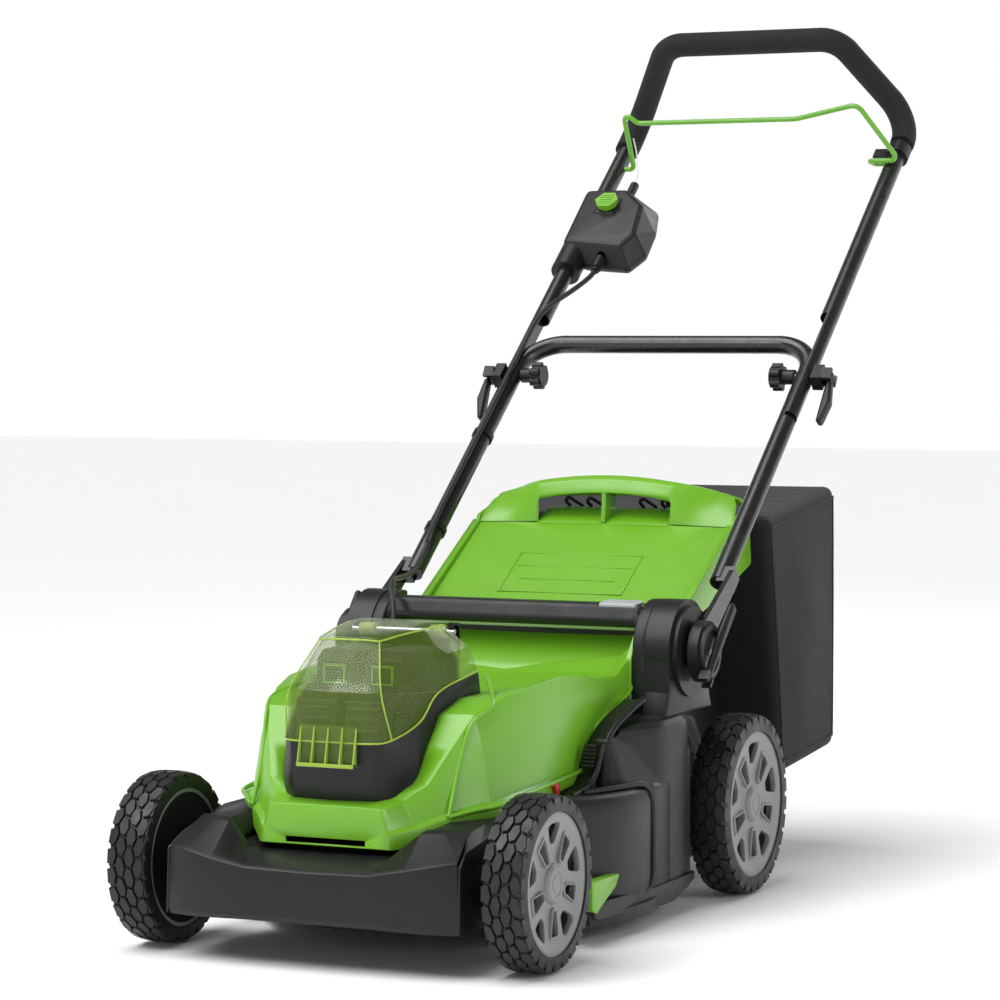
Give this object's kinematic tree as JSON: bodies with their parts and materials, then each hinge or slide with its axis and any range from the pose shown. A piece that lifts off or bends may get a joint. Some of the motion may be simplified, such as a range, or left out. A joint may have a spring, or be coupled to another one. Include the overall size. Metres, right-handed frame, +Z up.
{
  "type": "push lawn mower",
  "caption": "Battery push lawn mower with a green cowl, clear battery lid, folding tube handle with bail lever, rear flap and fabric grass bag",
  "frame": {"origin": "middle of the footprint, on the ground", "axes": "+Z up, +Y towards the handle and bag, +X to the side of the single stop plate"},
  "size_m": [0.475, 1.3132, 1.0233],
  "materials": {
    "black_plastic": "satin moulded plastic",
    "green_plastic": "glossy moulded plastic",
    "battery_case": "matt moulded plastic",
    "dark_metal": "dark coated steel",
    "bright_steel": "zinc plated",
    "blade_steel": "painted steel with ground edges",
    "clear_lid": "clear tinted plastic",
    "red_plastic": "glossy moulded plastic",
    "grey_button": "satin moulded plastic",
    "tyre_rubber": "moulded rubber tread",
    "grey_rim": "satin moulded plastic",
    "bag_fabric": "woven polyester",
    "black_tube": "satin powder coat",
    "foam": "soft closed-cell foam",
    "cable_black": "rubber sheath",
    "cable_clear": "translucent sleeve",
    "green_wire": "glossy powder coat"
  },
  "bodies": {
    "chassis": {"deck_shell": "black_plastic", "front_bumper": "black_plastic", "handle_brackets": "black_plastic", "motor_cowl": "green_plastic", "front_fascia": "black_plastic", "battery_bay": "black_plastic", "battery_packs": "battery_case", "controller": "battery_case", "motor_housing": "dark_metal", "lid_hinge_pin": "bright_steel", "carry_bar": "black_plastic", "rear_rail": "black_plastic", "flap_rod": "bright_steel", "flap_spring": "bright_steel", "height_scale": "black_plastic", "lawn_combs": "green_plastic", "power_cable_base": "cable_black"},
    "cutter": {"motor_rotor": "dark_metal", "blade_adapter": "black_plastic", "blade": "blade_steel", "blade_bolt": "bright_steel"},
    "lid": {"battery_lid": "clear_lid"},
    "key": {"safety_key": "red_plastic"},
    "button": {"height_button": "grey_button"},
    "front_crank": {"front_axle": "dark_metal"},
    "rear_crank": {"rear_axle": "dark_metal"},
    "wheel_front_left": {"tyre_front_left": "tyre_rubber", "rim_front_left": "grey_rim"},
    "wheel_front_right": {"tyre_front_right": "tyre_rubber", "rim_front_right": "grey_rim"},
    "wheel_rear_left": {"tyre_rear_left": "tyre_rubber", "rim_rear_left": "grey_rim"},
    "wheel_rear_right": {"tyre_rear_right": "tyre_rubber", "rim_rear_right": "grey_rim"},
    "flap": {"rear_flap": "green_plastic"},
    "bag": {"grass_bag": "bag_fabric", "bag_frame": "black_plastic", "bag_handle": "black_plastic"},
    "lower_frame": {"lower_handle": "black_tube", "handle_bolts": "bright_steel", "hub_knobs": "black_plastic", "star_knobs": "black_plastic", "clamp_blocks": "black_plastic", "cable_clips": "black_plastic", "power_cable_lower": "cable_black"},
    "hub_lever_l": {"hub_lever_left": "black_plastic"},
    "hub_lever_r": {"hub_lever_right": "black_plastic"},
    "cam_lever_l": {"cam_lever_left": "black_plastic"},
    "cam_lever_r": {"cam_lever_right": "black_plastic"},
    "upper_frame": {"upper_handle": "black_tube", "foam_grip": "foam", "switch_housing": "black_plastic", "cable_glands": "black_plastic", "stop_plate": "black_plastic", "power_cable_upper": "cable_black", "pull_cable": "cable_clear"},
    "start": {"start_button": "green_plastic"},
    "bail": {"bail_lever": "green_wire"}
  },
  "joints": [
    {"name": "blade_spin", "type": "hinge", "parent": "chassis", "child": "cutter", "pos_m": [0, -0.2952, 0.06], "axis": [0, 0, 1], "continuous": true},
    {"name": "lid_hinge", "type": "hinge", "parent": "chassis", "child": "lid", "pos_m": [0, -0.4332, 0.322], "axis": [-1, 0, 0], "range_deg": [0, 75]},
    {"name": "key_slide", "type": "slide", "parent": "chassis", "child": "key", "axis": [0, 0, 1], "range_m": [0, 0.012]},
    {"name": "height_button_press", "type": "slide", "parent": "chassis", "child": "button", "axis": [0, 0, -1], "range_m": [0, 0.003], "stiffness_N_per_m": 600},
    {"name": "front_height", "type": "hinge", "parent": "chassis", "child": "front_crank", "pos_m": [0, -0.52334, 0.06319], "axis": [1, 0, 0], "range_deg": [0, 70]},
    {"name": "rear_height", "type": "hinge", "parent": "chassis", "child": "rear_crank", "pos_m": [0, 0.01766, 0.07569], "axis": [1, 0, 0], "range_deg": [0, 70]},
    {"name": "wheel_fl_spin", "type": "hinge", "parent": "front_crank", "child": "wheel_front_left", "pos_m": [0, -0.5602, 0.089], "axis": [1, 0, 0], "continuous": true},
    {"name": "wheel_fr_spin", "type": "hinge", "parent": "front_crank", "child": "wheel_front_right", "pos_m": [0, -0.5602, 0.089], "axis": [1, 0, 0], "continuous": true},
    {"name": "wheel_rl_spin", "type": "hinge", "parent": "rear_crank", "child": "wheel_rear_left", "pos_m": [0, -0.0192, 0.1015], "axis": [1, 0, 0], "continuous": true},
    {"name": "wheel_rr_spin", "type": "hinge", "parent": "rear_crank", "child": "wheel_rear_right", "pos_m": [0, -0.0192, 0.1015], "axis": [1, 0, 0], "continuous": true},
    {"name": "flap_hinge", "type": "hinge", "parent": "chassis", "child": "flap", "pos_m": [0, -0.1042, 0.285], "axis": [1, 0, 0], "range_deg": [0, 30], "stiffness_Nm_per_rad": 0.8, "deforming": ["flap_spring"]},
    {"name": "bag_pull", "type": "slide", "parent": "chassis", "child": "bag", "axis": [0, 1, 0], "range_m": [0, 0.3]},
    {"name": "handle_fold", "type": "hinge", "parent": "chassis", "child": "lower_frame", "pos_m": [0, -0.1282, 0.282], "axis": [1, 0, 0], "range_deg": [0, 125], "deforming": ["power_cable_base", "power_cable_lower"]},
    {"name": "hub_lever_left_flip", "type": "hinge", "parent": "lower_frame", "child": "hub_lever_l", "pos_m": [0.2296, -0.1546, 0.25466], "axis": [0, 0.7193, -0.6947], "range_deg": [0, 80]},
    {"name": "hub_lever_right_flip", "type": "hinge", "parent": "lower_frame", "child": "hub_lever_r", "pos_m": [-0.2296, -0.1546, 0.25466], "axis": [0, -0.7193, 0.6947], "range_deg": [0, 80]},
    {"name": "cam_lever_left_flip", "type": "hinge", "parent": "lower_frame", "child": "cam_lever_l", "pos_m": [0.223, 0.25778, 0.57809], "axis": [0, -0.859, 0.512], "range_deg": [0, 100]},
    {"name": "cam_lever_right_flip", "type": "hinge", "parent": "lower_frame", "child": "cam_lever_r", "pos_m": [-0.223, 0.25778, 0.57809], "axis": [0, 0.859, -0.512], "range_deg": [0, 100]},
    {"name": "upper_fold", "type": "hinge", "parent": "lower_frame", "child": "upper_frame", "pos_m": [0, 0.25778, 0.57809], "axis": [1, 0, 0], "range_deg": [-70, 0], "deforming": ["power_cable_lower", "power_cable_upper"]},
    {"name": "start_press", "type": "slide", "parent": "upper_frame", "child": "start", "axis": [0, 0.632, -0.7749], "range_m": [0, 0.004], "stiffness_N_per_m": 400},
    {"name": "bail_squeeze", "type": "hinge", "parent": "upper_frame", "child": "bail", "pos_m": [0, 0.5879, 0.84734], "axis": [-1, 0, 0], "range_deg": [0, 45], "stiffness_Nm_per_rad": 0.3, "deforming": ["pull_cable"]}
  ],
  "couplings": [
    {"joint": "rear_height", "follows": "front_height", "ratio": 1}
  ]
}
